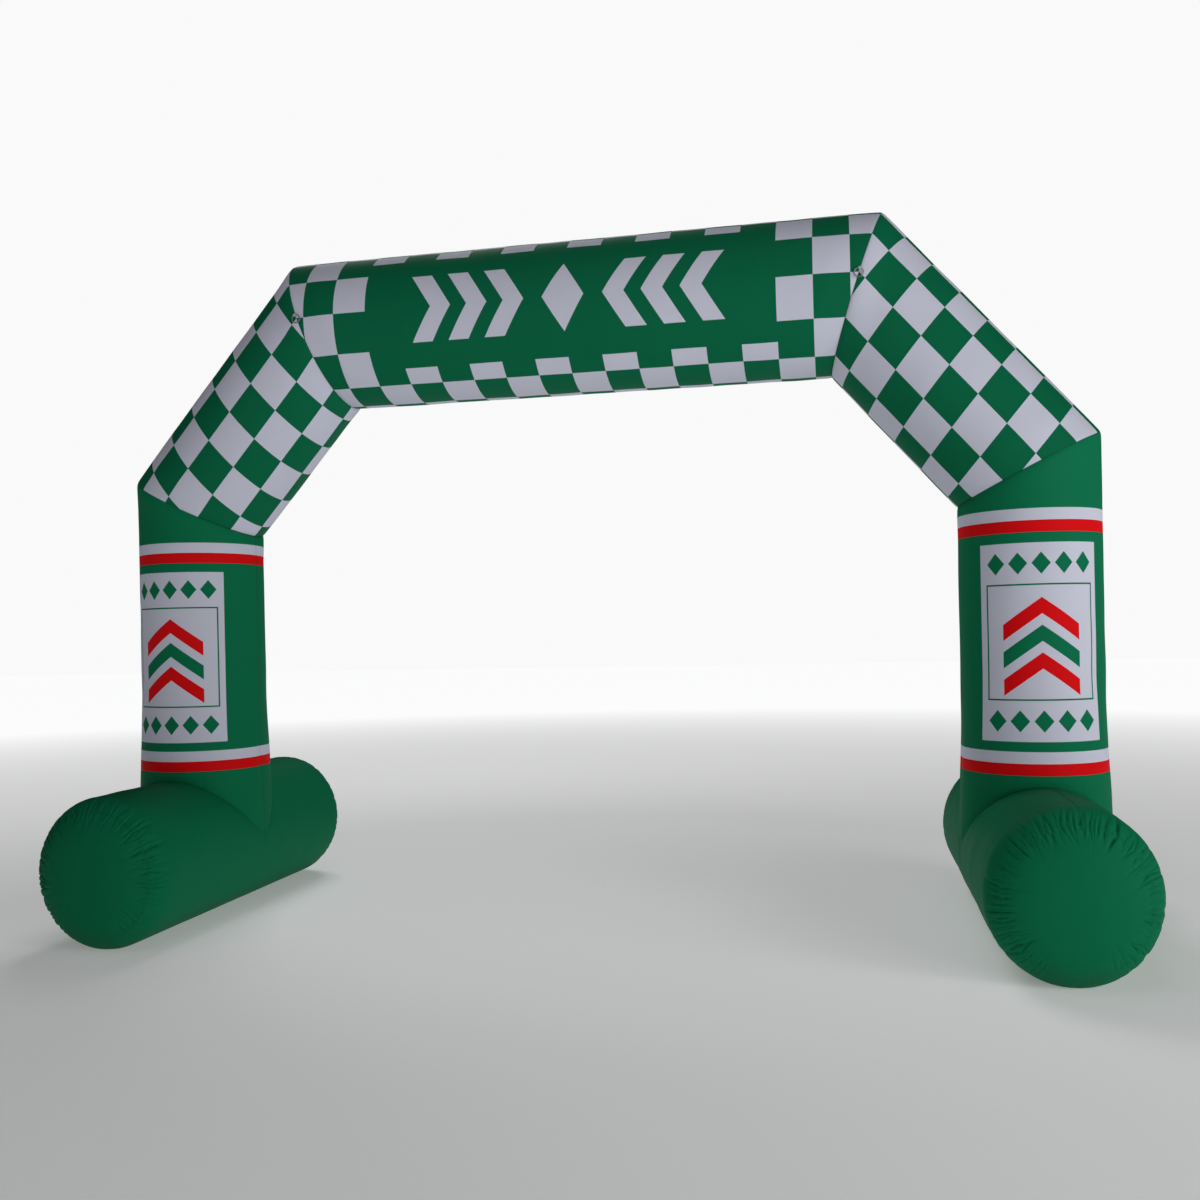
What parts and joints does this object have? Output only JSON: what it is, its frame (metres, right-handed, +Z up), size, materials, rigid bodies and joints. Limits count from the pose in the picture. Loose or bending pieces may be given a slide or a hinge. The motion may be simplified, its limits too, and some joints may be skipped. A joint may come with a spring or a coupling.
{
  "type": "inflatable arch",
  "caption": "Inflatable start and finish arch: a level beam on slanted tubes, upright legs and foot tubes that lie on the ground, all held up by air.",
  "frame": {"origin": "centre of the footprint, on the ground", "axes": "+X along the beam, -Y towards the front that shows the print, +Z up"},
  "size_m": [6.052, 2.524, 4.16],
  "materials": {
    "printed_cloth": "satin coated cloth printed green, white and red",
    "green_cloth": "satin coated cloth",
    "webbing": "matt woven",
    "steel": "plain"
  },
  "bodies": {
    "root": {"beam": "printed_cloth", "diagonal_left": "printed_cloth", "diagonal_right": "printed_cloth", "leg_left": "green_cloth", "leg_right": "green_cloth", "foot_left": "green_cloth", "foot_right": "green_cloth", "end_cap_left_front": "green_cloth", "end_cap_left_back": "green_cloth", "end_cap_right_front": "green_cloth", "end_cap_right_back": "green_cloth", "tether_tab_left": "webbing", "tether_tab_right": "webbing", "tether_ring_left": "steel", "tether_ring_right": "steel"}
  },
  "joints": []
}
